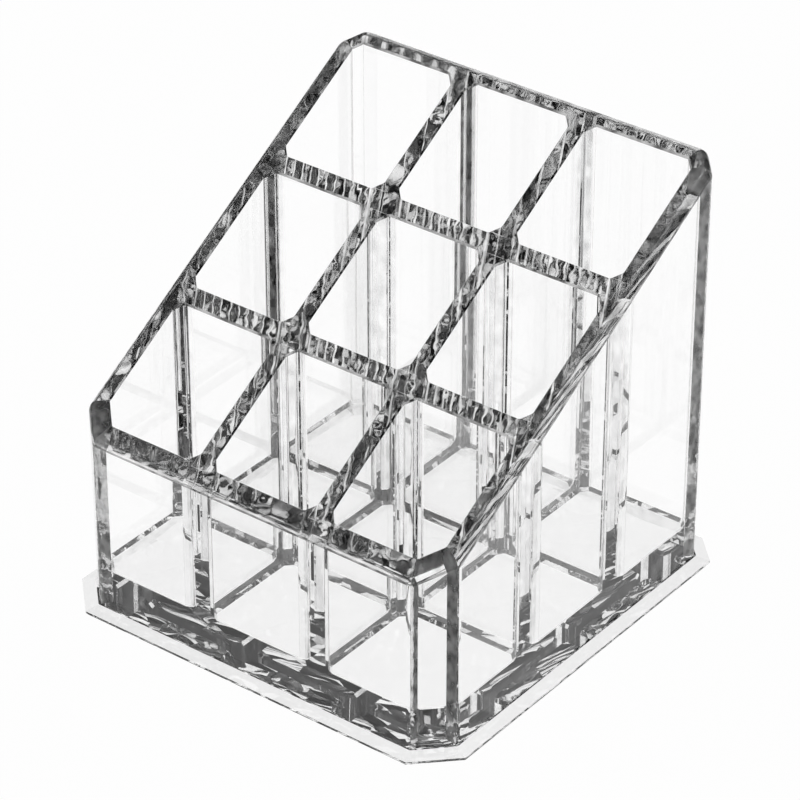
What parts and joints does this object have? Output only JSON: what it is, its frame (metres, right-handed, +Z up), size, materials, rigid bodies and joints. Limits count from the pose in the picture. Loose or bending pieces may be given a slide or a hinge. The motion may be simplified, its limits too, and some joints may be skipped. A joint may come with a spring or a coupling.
{
  "type": "vanity organizer",
  "caption": "Clear acrylic vanity organizer: square upright compartments in a grid under a sloped rim, low in front, on a bevelled base, for lipsticks and slim cosmetics.",
  "frame": {"origin": "on the table, under the middle of the base", "axes": "+X to the right along the front wall, +Y from the low front to the high back, +Z up"},
  "size_m": [0.0936, 0.0936, 0.0894],
  "materials": {
    "clear_acrylic": "clear, polished"
  },
  "bodies": {
    "root": {"base_plate": "clear_acrylic", "front_wall": "clear_acrylic", "back_wall": "clear_acrylic", "left_wall": "clear_acrylic", "right_wall": "clear_acrylic", "front_left_corner": "clear_acrylic", "front_right_corner": "clear_acrylic", "back_left_corner": "clear_acrylic", "back_right_corner": "clear_acrylic", "left_divider": "clear_acrylic", "right_divider": "clear_acrylic", "front_cross_divider": "clear_acrylic", "rear_cross_divider": "clear_acrylic"}
  },
  "joints": []
}
